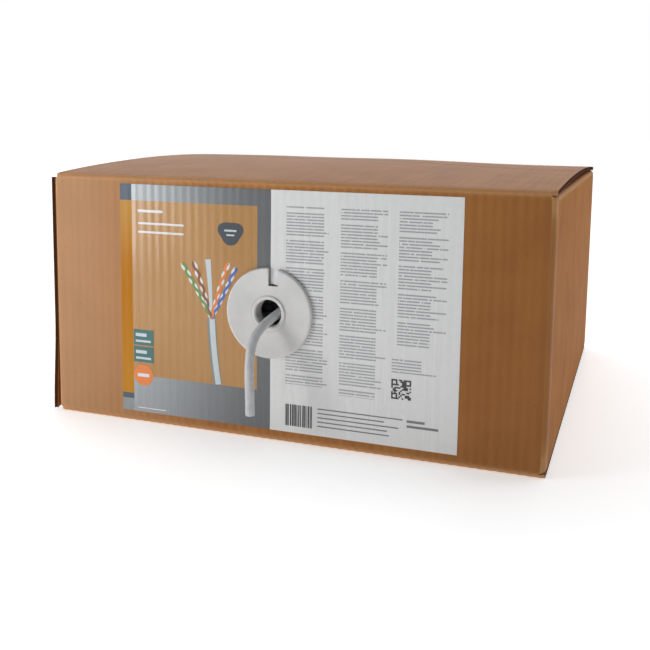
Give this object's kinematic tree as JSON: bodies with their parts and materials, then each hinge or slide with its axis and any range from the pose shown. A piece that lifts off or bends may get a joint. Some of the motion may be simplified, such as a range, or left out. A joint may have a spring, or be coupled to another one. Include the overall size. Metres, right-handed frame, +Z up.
{
  "type": "cable pull box",
  "caption": "Square corrugated pull box with a flanged cable reel inside, a round white spout in the labelled front and a short cable tail hanging from it.",
  "frame": {"origin": "centre of the base, on the surface that the box stands on", "axes": "+Z up, the front panel with the spout faces -Y, +X to the right seen from the front"},
  "size_m": [0.363, 0.3947, 0.186],
  "materials": {
    "kraft_board": "matte",
    "pad_board": "matte",
    "tube_board": "matte",
    "label_paper": "gloss",
    "spout_plastic": "satin",
    "hub_plastic": "satin",
    "flange_board": "matte",
    "cable_jacket": "satin",
    "zinc_steel": "satin"
  },
  "bodies": {
    "carton": {"front_panel": "kraft_board", "back_panel": "kraft_board", "left_panel": "kraft_board", "right_panel": "kraft_board", "glue_tab": "kraft_board", "top_flap_left": "kraft_board", "top_flap_right": "kraft_board", "bottom_flap_front": "kraft_board", "bottom_flap_back": "kraft_board", "bottom_flap_left": "kraft_board", "bottom_flap_right": "kraft_board", "front_label": "label_paper", "cable_spout": "spout_plastic", "spout_lock_ring": "spout_plastic", "base_pad": "pad_board", "top_pad": "pad_board", "hub_bottom": "hub_plastic", "hub_top": "hub_plastic", "spindle_tube": "tube_board", "cable_lead": "cable_jacket", "cable_tail": "cable_jacket"},
    "flap_front": {"top_flap_front": "kraft_board"},
    "flap_back": {"top_flap_back": "kraft_board"},
    "reel": {"reel_flange_bottom": "flange_board", "reel_flange_top": "flange_board", "reel_core": "tube_board", "cable_winding": "cable_jacket", "tie_bolts": "zinc_steel", "tie_nuts": "zinc_steel"}
  },
  "joints": [
    {"name": "reel_spin", "type": "hinge", "parent": "carton", "child": "reel", "pos_m": [0, 0, 0.08985], "axis": [0, 0, 1], "continuous": true},
    {"name": "front_flap_fold", "type": "hinge", "parent": "carton", "child": "flap_front", "pos_m": [0, -0.18, 0.18], "axis": [1, 0, 0], "range_deg": [0, 240]},
    {"name": "back_flap_fold", "type": "hinge", "parent": "carton", "child": "flap_back", "pos_m": [0, 0.18, 0.18], "axis": [-1, 0, 0], "range_deg": [0, 260]}
  ]
}
